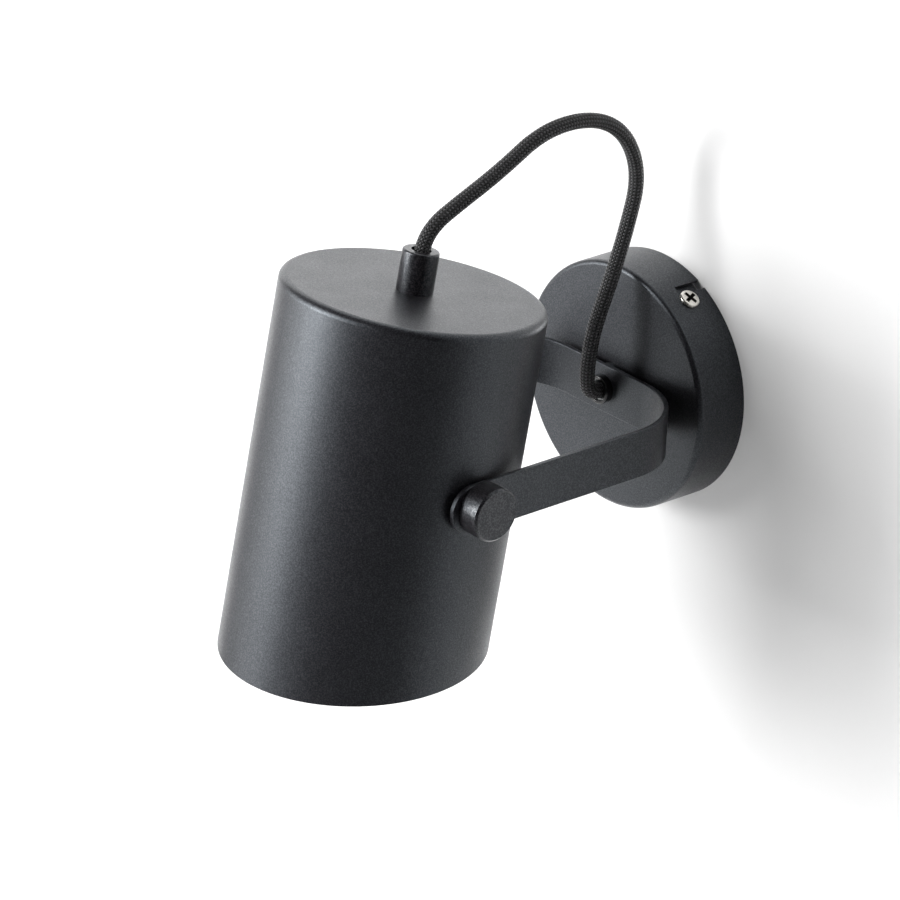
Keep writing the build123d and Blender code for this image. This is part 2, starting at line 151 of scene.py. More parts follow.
def closeTree(graph, geometry, finish):
    smooth = graph.out("GeometryNodeSetShadeSmooth", {}, {"Geometry": geometry})
    real = graph.out("GeometryNodeRealizeInstances", {}, {"Geometry": smooth})
    painted = graph.out("GeometryNodeSetMaterial", {}, {"Geometry": real, "Material": finish})
    graph.node("NodeGroupOutput", {}, {"Geometry": painted})
    return graph.tree


def growPiece(name, tree, values):
    # runs the tree once and keeps its result as a plain mesh
    obj = newObject(name, bpy.data.meshes.new(name))
    grower = obj.modifiers.new("grow", "NODES")
    grower.node_group = tree
    for item in tree.interface.items_tree:
        if item.in_out == "INPUT" and item.name in values:
            grower[item.identifier] = values[item.name]
    bpy.context.view_layer.update()
    grown = obj.evaluated_get(bpy.context.evaluated_depsgraph_get())
    mesh = bpy.data.meshes.new_from_object(grown)
    mesh.name = name
    obj.modifiers.clear()
    obj.data = mesh
    return obj


# The camera, fitted to the outlines in the photograph
camera = {
    "place": (1.5590, -1.5348, 0.9610),
    "towards": (-0.67064, 0.61427, -0.41583),
    "roll": 3.01,
    "lensMm": 243.66,
    "clipStart": 0.05,
    "clipEnd": 50,
}


def makeCamera():
    data = bpy.data.cameras.new("camera")
    data.lens = camera["lensMm"]
    data.clip_start = camera["clipStart"]
    data.clip_end = camera["clipEnd"]
    obj = newObject("camera", data)
    turn = Vector(camera["towards"]).to_track_quat("-Z", "Y").to_matrix()
    roll = Matrix.Rotation(math.radians(camera["roll"]), 3, "Z")
    obj.matrix_world = Matrix.Translation(camera["place"]) @ (turn @ roll).to_4x4()
    bpy.context.scene.camera = obj


makeCamera()
bpy.context.scene.view_settings.view_transform = "Standard"


# The room: a white wall and floor. Its white is partly its own glow, for the camera and for gloss;
# the glow seen in gloss is painted light, stronger to the left where it stands for light falling on
# the wall.
room = {
    "wallGap": 0.0002,
    "wallSize": 6.0,
    "floorHeight": -0.80,
    "floorDepth": 4.0,
    "coveRadius": 0.25,
    "coveSteps": 12,
    "albedo": 0.82,
    "whiteForCamera": 0.15,
    "whiteForGloss": 0.08,
    "paintedLightOnTheLeft": 0.30,  # grows along x from leftBegins to leftFull
    "leftBegins": 0.02,
    "leftFull": -0.06,
    "cupRadius": 0.0495,  # inside it nothing is white
    "world": 0.06,
}

lampAim = (0, -0.12, 0)
lamps = {
    # place, what it points at, width and height in metres, watts
    "keyBox": ((-0.800, -1.262, 0.122), lampAim, (0.6, 0.6), 14.2),
    "upperBox": ((-0.556, -1.312, 0.479), lampAim, (0.9, 0.9), 16),
    "sideBox": ((-1.231, -0.775, 0.122), lampAim, (0.9, 0.9), 5.0),
    "lowBox": ((-1.030, -1.048, -0.195), lampAim, (0.9, 0.9), 2.2),
    # shows the inside of the cup from behind
    "cupBox": ((0, 0.16, 0), (0, 0, 0), (0.08, 0.08), 0.25),
}


def objectPlace(graph):
    return graph.out("ShaderNodeTexCoord", output="Object")


def clamped(value):
    return value.maths("MAXIMUM", 0).maths("MINIMUM", 1)


def finishWith(graph, shader):
    graph.node("ShaderNodeOutputMaterial", inputs={"Surface": shader})


def oneSided(graph, shader):
    # seen from behind, the wall and the floor let the view through
    rear = graph.out("ShaderNodeNewGeometry", output="Backfacing")
    clear = graph.out("ShaderNodeBsdfTransparent")
    return graph.out("ShaderNodeMixShader", inputs={0: rear, 1: shader, 2: clear})


def makeRoomPaint():
    paint, graph = newMaterial("wallPaint")
    white = (room["albedo"],) * 3 + (1,)
    diffuse = graph.out("ShaderNodeBsdfDiffuse", inputs={"Color": white})
    rays = graph.node("ShaderNodeLightPath")
    seen, glossy, through = (Wire(graph, rays.outputs[name]) for name in
                             ("Is Camera Ray", "Is Glossy Ray", "Is Transmission Ray"))
    place = graph.node("ShaderNodeSeparateXYZ", inputs={"Vector": objectPlace(graph)})
    across, up = Wire(graph, place.outputs["X"]), Wire(graph, place.outputs["Z"])
    toLeft = clamped((room["leftBegins"] - across) / (room["leftBegins"] - room["leftFull"]))
    # painted light seen only in reflections, stronger towards the left
    mirrored = (glossy + through) * (room["whiteForGloss"] + toLeft * room["paintedLightOnTheLeft"])
    # no white behind the cup, where it would shine through the slots: painted shade, the wall
    # inside the cup stays dark
    pastTheCup = (across * across + up * up).maths("GREATER_THAN", room["cupRadius"] ** 2)
    strength = (seen * room["whiteForCamera"] + mirrored) * pastTheCup
    glow = graph.out("ShaderNodeEmission", inputs={"Strength": strength})
    lit = graph.out("ShaderNodeAddShader", inputs={0: diffuse, 1: glow})
    finishWith(graph, oneSided(graph, lit))
    return paint


def makeRoom():
    half, gap, low = room["wallSize"] / 2, room["wallGap"], room["floorHeight"]
    bend = room["coveRadius"]
    profile = [(gap, half), (gap, low + bend)]
    for step in range(1, room["coveSteps"]):
        turn = math.pi / 2 * step / room["coveSteps"]
        profile.append((gap - bend * (1 - math.cos(turn)), low + bend * (1 - math.sin(turn))))
    profile += [(gap - bend, low), (-room["floorDepth"], low)]
    mesh = bpy.data.meshes.new("room")
    points = [(x, y, z) for y, z in profile for x in (-half, half)]
    faces = [(2 * i, 2 * i + 2, 2 * i + 3, 2 * i + 1) for i in range(len(profile) - 1)]
    mesh.from_pydata(points, [], faces)
    for face in mesh.polygons:
        face.use_smooth = True
    mesh.materials.append(makeRoomPaint())
    obj = newObject("room", mesh)
    obj.visible_shadow = False


def makeLamps():
    for name, (place, aim, size, watts) in lamps.items():
        data = bpy.data.lights.new(name, "AREA")
        data.shape = "RECTANGLE"
        data.size, data.size_y = size
        data.energy = watts
        obj = newObject(name, data)
        obj.location = place
        towards = Vector(aim) - Vector(place)
        obj.rotation_euler = towards.to_track_quat("-Z", "Y").to_euler()


def makeWorld():
    world = bpy.data.worlds.new("world")
    bpy.context.scene.world = world
    world.use_nodes = True
    world.node_tree.nodes.clear()
    graph = Graph(world.node_tree)
    seen = graph.out("ShaderNodeLightPath", output="Is Camera Ray")
    level = room["world"] + seen * (1 - room["world"])
    sky = graph.out("ShaderNodeBackground", inputs={"Strength": level})
    graph.node("ShaderNodeOutputWorld", inputs={"Surface": sky})


makeRoom()
makeLamps()
makeWorld()
print("room and lamps made")


# Finishes. Patterns are in metres on the object, and grain is the size of one speck.
def noise(graph, grain, detail=2.0, roughness=0.5, place=None):
    return graph.out("ShaderNodeTexNoise", {}, {
        "Vector": place or objectPlace(graph),
        "Scale": 1 / grain,
        "Detail": detail,
        "Roughness": roughness,
    })


def bump(graph, height, depth):
    inputs = {"Height": height, "Distance": depth, "Strength": 1.0}
    return graph.out("ShaderNodeBump", {}, inputs)


def blendColours(graph, mask, dark, light):
    # the Mix node has sockets for each data type: 6 and 7 are its colours, output 2 the result
    inputs = {0: mask, 6: (*dark, 1), 7: (*light, 1)}
    return graph.out("ShaderNodeMix", {"data_type": "RGBA"}, inputs, output=2)


# A coat is dark paint with lighter specks: share is how many there are, contrast how crisp
coats = {
    "blackCoat": {
        "dark": (0.0040, 0.0030, 0.0040), "light": (0.027, 0.025, 0.030), "grain": 0.55 * mm,
        "contrast": 3.4, "share": 0.28, "depth": 0.05 * mm, "rough": 0.40, "roughSpread": 0.12,
        "specular": 0.57, "sheen": 0.62, "sheenRough": 0.36, "tint": (0.80, 0.90, 1.0, 1),
    },
    "knobCoat": {
        "dark": (0.0035, 0.0025, 0.0035), "light": (0.032, 0.030, 0.034), "grain": 0.62 * mm,
        "contrast": 6.5, "share": 0.36, "depth": 0.08 * mm, "rough": 0.34, "roughSpread": 0.10,
        "specular": 0.36, "sheen": 1.0, "sheenRough": 0.27, "tint": (0.80, 0.90, 1.0, 1),
    },
}
coatPattern = {
    "fineDetail": 3.0, "fineRoughness": 0.6, "fineShare": 0.8,
    "lumpGrain": 2.2, "lumpDetail": 1.0, "lumpShare": 0.2,  # lumpGrain counts in specks
    "broadGrain": 14 * mm,
}


def makeCoat(name):
    kind, pattern = coats[name], coatPattern
    made, graph = newMaterial(name)
    fine = noise(graph, kind["grain"], pattern["fineDetail"], pattern["fineRoughness"])
    broad = noise(graph, pattern["broadGrain"])
    lumps = noise(graph, pattern["lumpGrain"] * kind["grain"], pattern["lumpDetail"])
    height = fine * pattern["fineShare"] + lumps * pattern["lumpShare"]
    speck = clamped((fine - 0.5) * kind["contrast"] + kind["share"])
    rough = kind["rough"] + (broad - 0.5) * kind["roughSpread"] + (fine - 0.5) * kind["roughSpread"]
    finishWith(graph, graph.out("ShaderNodeBsdfPrincipled", {}, {
        "Base Color": blendColours(graph, speck, kind["dark"], kind["light"]),
        "Roughness": rough,
        "Specular IOR Level": kind["specular"],
        "Specular Tint": kind["tint"],
        "Coat Weight": speck * kind["sheen"],
        "Coat Roughness": kind["sheenRough"],
        "Normal": bump(graph, height, kind["depth"]),
    }))
    return made


plastics = {
    # colour, roughness, height and length of the surface's waves
    "bushingGloss": ((0.012, 0.012, 0.013), 0.16, 0.004 * mm, 1.5 * mm),
    "holderGloss": ((0.016, 0.015, 0.014), 0.28, 0.008 * mm, 2.0 * mm),
    "nylon": ((0.74, 0.72, 0.66), 0.48, 0.01 * mm, 0.9 * mm),
    "ceramic": ((0.78, 0.76, 0.70), 0.22, 0.02 * mm, 1.8 * mm),
    "brownSheath": ((0.10, 0.035, 0.014), 0.34, 0.006 * mm, 0.8 * mm),
    "blueSheath": ((0.02, 0.10, 0.36), 0.34, 0.006 * mm, 0.8 * mm),
    "greenSheath": ((0.05, 0.28, 0.05), 0.34, 0.006 * mm, 0.8 * mm),
}
plasticPattern = {"cloudLength": 4, "darker": 0.86, "roughSpread": 0.12}


def makePlastic(name):
    (colour, rough, height, length), pattern = plastics[name], plasticPattern
    made, graph = newMaterial(name)
    cloud = noise(graph, pattern["cloudLength"] * length)
    darker = tuple(pattern["darker"] * c for c in colour)
    finishWith(graph, graph.out("ShaderNodeBsdfPrincipled", {}, {
        "Base Color": blendColours(graph, cloud, darker, colour),
        "Roughness": rough + (cloud - 0.5) * pattern["roughSpread"],
        "Normal": bump(graph, noise(graph, length), height),
    }))
    return made


metals = {
    # darker and lighter colour, roughness, stretch of the grain
    "nickel": ((0.60, 0.58, 0.53), (0.92, 0.90, 0.85), 0.30, (1, 1, 1)),
    "zinc": ((0.36, 0.37, 0.38), (0.62, 0.63, 0.63), 0.34, (1, 1, 6)),
    "brass": ((0.50, 0.34, 0.12), (0.80, 0.58, 0.25), 0.28, (1, 1, 1)),
    # painted shade: the dark finish of the screws' cross recess
    "paintedRecessShade": ((0.03, 0.03, 0.027), (0.12, 0.115, 0.10), 0.45, (1, 1, 1)),
}
metalPattern = {
    "fineGrain": 0.5 * mm, "fineDetail": 4.0, "fineRoughness": 0.6, "fineShare": 0.4,
    "cloudGrain": 6 * mm, "cloudDetail": 3.0, "cloudRoughness": 0.55, "cloudShare": 0.6,
    "cloudSpread": 0.2, "fineSpread": 0.1, "depth": 0.004 * mm,
}


def makeMetal(name):
    (dark, light, rough, stretch), pattern = metals[name], metalPattern
    made, graph = newMaterial(name)
    place = graph.out("ShaderNodeMapping", {}, {"Vector": objectPlace(graph), "Scale": stretch})
    fine = noise(graph, pattern["fineGrain"], pattern["fineDetail"], pattern["fineRoughness"],
                 place)
    cloud = noise(graph, pattern["cloudGrain"], pattern["cloudDetail"], pattern["cloudRoughness"])
    mask = cloud * pattern["cloudShare"] + fine * pattern["fineShare"]
    uneven = rough + (cloud - 0.5) * pattern["cloudSpread"] + (fine - 0.5) * pattern["fineSpread"]
    finishWith(graph, graph.out("ShaderNodeBsdfPrincipled", {}, {
        "Base Color": blendColours(graph, mask, dark, light),
        "Metallic": 1.0,
        "Roughness": uneven,
        "Normal": bump(graph, fine, pattern["depth"]),
    }))
    return made


yarn = {
    # dark is the yarn's colour; light is a painted highlight, laid on the strands' crests
    "dark": (0.0022, 0.0022, 0.0023), "light": (0.110, 0.110, 0.115),
    "rough": 0.56, "shine": 0.30, "specular": 0.45,
    "leanLeft": 0.12,  # how much of the painted highlight the strands that lean to the left get
    "crestRise": 0.65, "crestMiddle": 0.35,
    "fuzzGrain": 0.4 * mm, "fuzzDepth": 0.03 * mm, "fuzzLow": 0.6, "fuzzSpread": 0.8,
}


def makeYarn():
    # "across" goes from -0.5 to 0.5 over a strand, "crest" is 1 where it lies on the others,
    # and "way" is 1 for the strands that lean to the right, which get the painted highlight
    made, graph = newMaterial("braidYarn")
    across, crest, way = (graph.out("ShaderNodeAttribute", {"attribute_name": name}, output="Fac")
                          for name in ("across", "crest", "way"))
    # painted light: crests painted lighter, strand edges painted dark as shade between the yarns,
    # mostly on right-leaning strands
    edge = (across * across * 4).maths("MINIMUM", 1)
    top = (crest * yarn["crestRise"] + yarn["crestMiddle"]).maths("MAXIMUM", 0)
    paintedHighlight = top * (1 - edge) * (way * (1 - yarn["leanLeft"]) + yarn["leanLeft"])
    fuzz = noise(graph, yarn["fuzzGrain"])
    mask = paintedHighlight * (yarn["fuzzLow"] + fuzz * yarn["fuzzSpread"])
    finishWith(graph, graph.out("ShaderNodeBsdfPrincipled", {}, {
        "Base Color": blendColours(graph, mask, yarn["dark"], yarn["light"]),
        "Roughness": yarn["rough"] - paintedHighlight * yarn["shine"],
        "Specular IOR Level": yarn["specular"],
        "Normal": bump(graph, fuzz, yarn["fuzzDepth"]),
    }))
    return made


finishes = {name: makeCoat(name) for name in coats}
finishes["braidYarn"] = makeYarn()
finishes.update({name: makePlastic(name) for name in plastics})
finishes.update({name: makeMetal(name) for name in metals})

finishOfSlot = {
    "black_coat": "blackCoat",
    "black_knob": "knobCoat",
    "black_gloss": "bushingGloss",
    "black_holder": "holderGloss",
    "nickel": "nickel",
    "zinc": "zinc",
    "brass": "brass",
    "nylon": "nylon",
    "ceramic": "ceramic",
    "braid": "braidYarn",
    "brown_core": "brownSheath",
    "blue_core": "blueSheath",
    "green_core": "greenSheath",
}

# the grip's paint is as coarse as the knobs'
finishOfNode = {"cord_grip": "knobCoat"}

for part in frame["record"]["subparts"]:
    obj = nodes[part["node"]]
    finish = finishes[finishOfNode.get(part["node"], finishOfSlot[part["material_slot"]])]
    if not obj.material_slots:
        obj.data.materials.append(finish)
    for place in obj.material_slots:
        place.material = finish
print("finishes made:", len(finishes))


# The braided cord. Its route repeats the points of the CAD's cord, in millimetres.
cord = {
    "route": [
        (0, -27, -0.6),
        (0.1, -31.6, -0.6),
        (0.4, -35.6, 0.9),
        (1.1, -37.8, 5.2),
        (2, -39, 13.5),
        (3.1, -38, 28.4),
        (5, -33, 46.5),
        (5.5, -26, 68.5),
        (5.5, -21, 90),
        (4.5, -29, 109),
        (3.5, -46, 118.5),
        (2.5, -70, 118),
        (1.7, -90.5, 105.8),
        (0.6, -109.9, 96.6),
        (0, -120.5, 91.2),
        (0, -126.31, 83.93),
        (0, -127.65, 75.54),
    ],
    "stepsPerPoint": 24,
    "curveOrder": 3,
    "diameter": 6 * mm,
    "length": 236.4 * mm,
    # from the first place to the second, the cord passes from the yoke to the shade
    "bendsFrom": (0, -0.036, 0.1),
    "bendsTo": (0, -0.1265, 0.1),
}

braid = {
    "strands": 24,
    "turnLength": 16.8 * mm,
    "stepsPerCrossing": 3,
    "centreRadius": 2.66 * mm,
    "wave": 0.20 * mm,
    "ribbonWidth": 1.10 * mm,
    "ribbonTop": 0.50 * mm,
    "ribbonHeight": 0.42 * mm,
    "linerRadius": 2.45 * mm,
    "linerAround": 12,
    "linerSteps": 130,
}


def makeBraidTree():
    graph, given = growTree("braid", {
        "Route": "Object", "Steps": "Int", "Strands": "Int", "Turn Length": "Float",
        "Centre Radius": "Float", "Wave": "Float", "Ribbon Width": "Float",
        "Ribbon Top": "Float", "Ribbon Height": "Float", "Liner Radius": "Float",
        "Liner Around": "Int", "Liner Steps": "Int", "Finish": "Material",
    })
    # one copy of the route for each strand
    route = graph.out("GeometryNodeObjectInfo", {}, {"Object": given["Route"]}, "Geometry")
    even = graph.out("GeometryNodeResampleCurve", {}, {"Curve": route, "Count": given["Steps"]})
    even = graph.out("GeometryNodeSetCurveNormal", {"mode": "MINIMUM_TWIST"}, {"Curve": even})
    even = graph.keep(even, "side", graph.out("GeometryNodeInputNormal"), "FLOAT_VECTOR")
    even = graph.keep(even, "ahead", graph.out("GeometryNodeInputTangent"), "FLOAT_VECTOR")
    even = graph.keep(even, "along", graph.out("GeometryNodeSplineParameter", output="Length"))
    copies = graph.node("GeometryNodeDuplicateElements", {"domain": "SPLINE"},
                        {"Geometry": even, "Amount": given["Strands"]})
    strands, number = (Wire(graph, copies.outputs[name])
                       for name in ("Geometry", "Duplicate Index"))
    strands = graph.keep(strands, "number", number, "FLOAT", "CURVE")

    # odd strands wind one way and even ones the other, over and under at each crossing
    number = graph.attribute("number")
    along = graph.attribute("along")
    parity = number.maths("MODULO", 2)
    way = 1 - parity * 2
    slot = (number - parity) / given["Strands"]
    angle = (way * along / given["Turn Length"] + slot) * math.tau
    crossings = along * given["Strands"] / given["Turn Length"]
    crest = way * (crossings * math.pi).maths("COSINE")
    height = given["Centre Radius"] + crest * given["Wave"]
    strands = graph.keep(graph.keep(strands, "crest", crest), "way", (way + 1) / 2)
    side = graph.attribute("side", "FLOAT_VECTOR")
    across = graph.vector("CROSS_PRODUCT", graph.attribute("ahead", "FLOAT_VECTOR"), side)
    outwards = graph.vector("ADD", graph.scaled(side, angle.maths("COSINE")),
                            graph.scaled(across, angle.maths("SINE")))
    strands = graph.out("GeometryNodeSetPosition", {},
                        {"Geometry": strands, "Offset": graph.scaled(outwards, height)})
    strands = graph.out("GeometryNodeSetCurveNormal", {"mode": "FREE"},
                        {"Curve": strands, "Normal": outwards})

    # a flat ribbon with bevelled sides, laid on its strand
    ribbon = graph.out("GeometryNodeCurvePrimitiveQuadrilateral", {"mode": "TRAPEZOID"}, {
        "Bottom Width": given["Ribbon Width"], "Top Width": given["Ribbon Top"],
        "Offset": 0.0, "Height": given["Ribbon Height"],
    })
    ribbon = graph.out("GeometryNodeTransform", {},
                       {"Geometry": ribbon, "Rotation": (0, 0, -math.pi / 2)})
    edge = graph.node("ShaderNodeSeparateXYZ", {}, {0: graph.out("GeometryNodeInputPosition")})
    ribbon = graph.keep(ribbon, "across", Wire(graph, edge.outputs["Y"]) / given["Ribbon Width"])
    yarns = graph.out("GeometryNodeCurveToMesh", {},
                      {"Curve": strands, "Profile Curve": ribbon, "Fill Caps": True})

    # a plain tube under the braid closes its gaps
    thin = graph.out("GeometryNodeResampleCurve", {},
                     {"Curve": route, "Count": given["Liner Steps"]})
    circle = graph.out("GeometryNodeCurvePrimitiveCircle", {},
                       {"Resolution": given["Liner Around"], "Radius": given["Liner Radius"]})
    liner = graph.out("GeometryNodeCurveToMesh", {},
                      {"Curve": thin, "Profile Curve": circle, "Fill Caps": True})
    joined = graph.node("GeometryNodeJoinGeometry")
    for part in (liner, yarns):
        graph.tree.links.new(part.socket, joined.inputs[0])
    return closeTree(graph, Wire(graph, joined.outputs[0]), given["Finish"])


braidTree = makeBraidTree()


def makeRoute(name, points):
    data = bpy.data.curves.new(name, "CURVE")
    data.dimensions = "3D"
    data.resolution_u = cord["stepsPerPoint"]
    spline = data.splines.new("NURBS")
    spline.points.add(len(points) - 1)
    for spot, place in zip(spline.points, points):
        spot.co = (*(v * mm for v in place), 1)
    spline.order_u = cord["curveOrder"]
    spline.use_endpoint_u = True
    return newObject(name, data)


def readRoute(route):
    line = bpy.data.meshes.new_from_object(route)
    spots = [spot.co.copy() for spot in line.vertices]
    bpy.data.meshes.remove(line)
    return spots


def routeLength(spots):
    return sum((b - a).length for a, b in zip(spots, spots[1:]))


def braidAlong(name, route, length):
    step = braid["turnLength"] / braid["strands"] / braid["stepsPerCrossing"]
    return growPiece(name, braidTree, {
        "Route": route,
        "Steps": int(length / step) + 1,
        "Strands": braid["strands"],
        "Turn Length": braid["turnLength"],
        "Centre Radius": braid["centreRadius"],
        "Wave": braid["wave"],
        "Ribbon Width": braid["ribbonWidth"],
        "Ribbon Top": braid["ribbonTop"],
        "Ribbon Height": braid["ribbonHeight"],
        "Liner Radius": braid["linerRadius"],
        "Liner Around": braid["linerAround"],
        "Liner Steps": max(2, int(braid["linerSteps"] * length / cord["length"])),
        "Finish": finishes["braidYarn"],
    })


def makeCord():
    route = makeRoute("cordRoute", cord["route"])
    spots = readRoute(route)
    length = routeLength(spots)
    piece = braidAlong("braidedCord", route, length)
    bpy.data.objects.remove(route)
    triangles = sum(len(face.vertices) - 2 for face in piece.data.polygons)
    print("cord: length", round(length, 4), "triangles", triangles)
    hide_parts("cord")
    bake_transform(piece)


makeCord()


# Places. The head's frame has z along the shade's axis, the wall's frame has z out of the wall.
behaviour = frame["record"]["behaviour"]
bodyOf = {node: body for body, held in behaviour["bodies"].items() for node in held}


def frameAt(origin, forward, across):
    z = Vector(forward).normalized()
    x = Vector(across).normalized()
    turn = Matrix((x, z.cross(x), z)).transposed()
    return Matrix.Translation(origin) @ turn.to_4x4()


def mountNamed(name):
    return next(m for m in frame["record"]["mounts"] if m["name"] == name)


def jointNamed(name):
    return next(j for j in behaviour["joints"] if j["name"] == name)


wallFrame = frameAt((0, 0, 0), (0, -1, 0), (1, 0, 0))
headFrame = frameAt(jointNamed("tilt")["pos_m"], -Vector(mountNamed("lamp_socket")["axis"]),
                    (1, 0, 0))
pivotFrames = {side: headFrame @ Matrix.Rotation(math.radians(90 * turn), 4, "Y")
               for side, turn in (("right", 1), ("left", -1))}


def span(name, place):
    # where a CAD node begins and ends along z in that frame, and its largest radius about z
    local = place.inverted()
    spots = [local @ spot.co for spot in nodes[name].data.vertices]
    heights = [spot.z for spot in spots]
    return min(heights), max(heights), max(math.hypot(spot.x, spot.y) for spot in spots)


def standIn(piece, *names):
    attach(piece, bodyOf[names[0]])
    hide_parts(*names)


def joinPieces(name, pieces):
    # one mesh from several, each face with the material it had
    mesh = bpy.data.meshes.new(name)
    merged = bmesh.new()
    finishList = []
    for piece in pieces:
        slots = list(piece.data.materials)
        part = bmesh.new()
        part.from_mesh(piece.data)
        for face in part.faces:
            material = slots[face.material_index]
            if material not in finishList:
                finishList.append(material)
            face.material_index = finishList.index(material)
        part.to_mesh(piece.data)
        part.free()
        merged.from_mesh(piece.data)
        bpy.data.objects.remove(piece)
    merged.to_mesh(mesh)
    merged.free()
    for material in finishList:
        mesh.materials.append(material)
    return newObject(name, mesh)


# Threads: one tree makes rods, tubes and the socket's round-bottomed thread
threadSizes = {
    # pitch, depth and length of the run-out at each end
    "tube": (1.0 * mm, 0.6 * mm, 0.8 * mm),
    "stud": (1.0 * mm, 0.6 * mm, 0.8 * mm),
    "sideScrew": (0.7 * mm, 0.42 * mm, 0.6 * mm),
}
rowsPerTurn = 8
fewestRows = 4
threadAround = 48
weldWithin = 1e-6  # metres

socket = {
    "pitch": 3.6 * mm,
    "wave": 0.35 * mm,
    "wall": 0.4 * mm,
    "floorHole": 8 * mm,
    "around": 72,
    "rowsPerTurn": 14,
}


def makeThreadTree():
    # a grid is rolled up: its rows run along the outside and back along the inside
    graph, given = growTree("thread", {
        "Around": "Int", "Steps": "Int", "Inner Steps": "Int", "Outer": "Float",
        "Inner": "Float", "Outer Wave": "Float", "Inner Wave": "Float", "Pitch": "Float",
        "Length": "Float", "Sharp": "Float", "Run Out": "Float", "Taper": "Float",
        "Finish": "Material",
    })
    steps, innerSteps, length = given["Steps"], given["Inner Steps"], given["Length"]
    rows = steps + innerSteps + 3
    grid = graph.out("GeometryNodeMeshGrid", {}, {
        "Size X": 1.0, "Size Y": 1.0, "Vertices X": given["Around"] + 1, "Vertices Y": rows,
    })
    spot = graph.node("ShaderNodeSeparateXYZ", {}, {0: graph.out("GeometryNodeInputPosition")})
    turn = Wire(graph, spot.outputs["X"]) + 0.5
    row = ((Wire(graph, spot.outputs["Y"]) + 0.5) * (rows - 1)).maths("ROUND")
    row = row * row.maths("LESS_THAN", rows - 1.5)  # the last row closes on the first
    isInner = row.maths("GREATER_THAN", steps + 0.5)
    outerHeight = row / steps
    innerHeight = 1 - (row - steps - 1) / innerSteps
    z = (outerHeight + isInner * (innerHeight - outerHeight)) * length

    phase = (turn - z / given["Pitch"]).maths("FRACT")
    rounded = (phase * math.tau).maths("COSINE")
    pointed = (phase * 2 - 1).maths("ABSOLUTE") * 2 - 1
    wave = rounded + (pointed - rounded) * given["Sharp"]
    toEnd = z.maths("MINIMUM", length - z) / given["Run Out"]
    fade = toEnd.maths("MINIMUM", 1)
    wave = wave * fade - given["Taper"] * (1 - fade)
    base = given["Outer"] + isInner * (given["Inner"] - given["Outer"])
    swing = given["Outer Wave"] + isInner * (given["Inner Wave"] - given["Outer Wave"])
    radius = base + swing * wave
    angle = turn * math.tau
    place = graph.out("ShaderNodeCombineXYZ", {}, {
        "X": radius * angle.maths("COSINE"), "Y": radius * angle.maths("SINE"), "Z": z,
    })
    shaped = graph.out("GeometryNodeSetPosition", {}, {"Geometry": grid, "Position": place})
    closed = graph.out("GeometryNodeMergeByDistance", {},
                       {"Geometry": shaped, "Distance": weldWithin})
    bare = graph.out("GeometryNodeInputMeshEdgeNeighbors").maths("LESS_THAN", 0.5)
    clean = graph.out("GeometryNodeDeleteGeometry", {"domain": "EDGE"},
                      {"Geometry": closed, "Selection": bare})
    return closeTree(graph, clean, given["Finish"])


threadTree = makeThreadTree()


def growThread(name, sizes, finish):
    # what sizes leave out is a smooth, untapered wall
    plain = {"Inner Steps": 1, "Outer Wave": 0.0, "Inner Wave": 0.0, "Sharp": 0.0, "Taper": 0.0}
    return growPiece(name, threadTree, {**plain, **sizes, "Finish": finish})


def threaded(name, kind, radius, bore, length, finish, place, around=threadAround):
    pitch, depth, runOut = threadSizes[kind]
    piece = growThread(name, {
        "Around": around,
        "Steps": max(fewestRows, round(length / pitch * rowsPerTurn)),
        "Outer": radius - depth / 2,
        "Inner": bore,
        "Outer Wave": depth / 2,
        "Pitch": pitch,
        "Length": length,
        "Sharp": 1.0,
        "Run Out": runOut,
        "Taper": 1.0,
    }, finish)
    piece.data.transform(place)
    return piece


def threadFor(node, kind, bore, place, finish):
    low, high, radius = span(node, place)
    name = node.title().replace("_", "")
    name = name[0].lower() + name[1:] + "Thread"
    start = place @ Matrix.Translation((0, 0, low))
    return threaded(name, kind, radius, bore, high - low, finish, start)


def makeThreadedTubes():
    toWall = wallFrame.inverted()
    spots = [toWall @ vertex.co for vertex in nodes["swivel_tube"].data.vertices]
    bore = min(math.hypot(spot.x, spot.y) for spot in spots)
    for node, place in (("swivel_tube", wallFrame), ("lamp_tube", headFrame)):
        standIn(threadFor(node, "tube", bore, place, finishes["zinc"]), node)
    for side, place in pivotFrames.items():
        node = "stud_" + side
        standIn(threadFor(node, "stud", 0.0, place, finishes["zinc"]), node)


def makeSocketThread():
    low, high, radius = span("screw_shell", headFrame)
    outer = radius - socket["wave"]
    length = high - low
    steps = round(length / socket["pitch"] * socket["rowsPerTurn"])
    wall = growThread("socketWall", {
        "Around": socket["around"],
        "Steps": steps,
        "Inner Steps": steps,
        "Outer": outer,
        "Inner": outer - socket["wall"],
        "Outer Wave": socket["wave"],
        "Inner Wave": socket["wave"],
        "Pitch": socket["pitch"],
        "Length": length,
        "Run Out": socket["pitch"] / 2,
    }, finishes["brass"])
    floor = growThread("socketFloor", {
        "Around": socket["around"],
        "Steps": 1,
        "Outer": outer - socket["wall"] / 2,
        "Inner": socket["floorHole"],
        "Pitch": socket["pitch"],
        "Length": socket["wall"],
        "Run Out": socket["pitch"],
    }, finishes["brass"])
    floor.data.transform(Matrix.Translation((0, 0, length - socket["wall"])))
    shell = joinPieces("socketThread", [wall, floor])
    shell.data.transform(headFrame @ Matrix.Translation((0, 0, low)))
    standIn(shell, "screw_shell")


makeThreadedTubes()
makeSocketThread()
print("threads made")


def makeTails():
    # the cord's ends inside the two tubes
    for name, node, place in (("wallTail", "cord_tail_wall", wallFrame),
                              ("lampTail", "cord_tail_lamp", headFrame)):
        low, high, _ = span(node, place)
        heights = (low, (low + high) / 2, high)
        route = makeRoute(node + "Route", [place @ Vector((0, 0, z)) / mm for z in heights])
        piece = braidAlong(name, route, high - low)
        bpy.data.objects.remove(route)
        standIn(piece, node)


makeTails()
print("tails made")
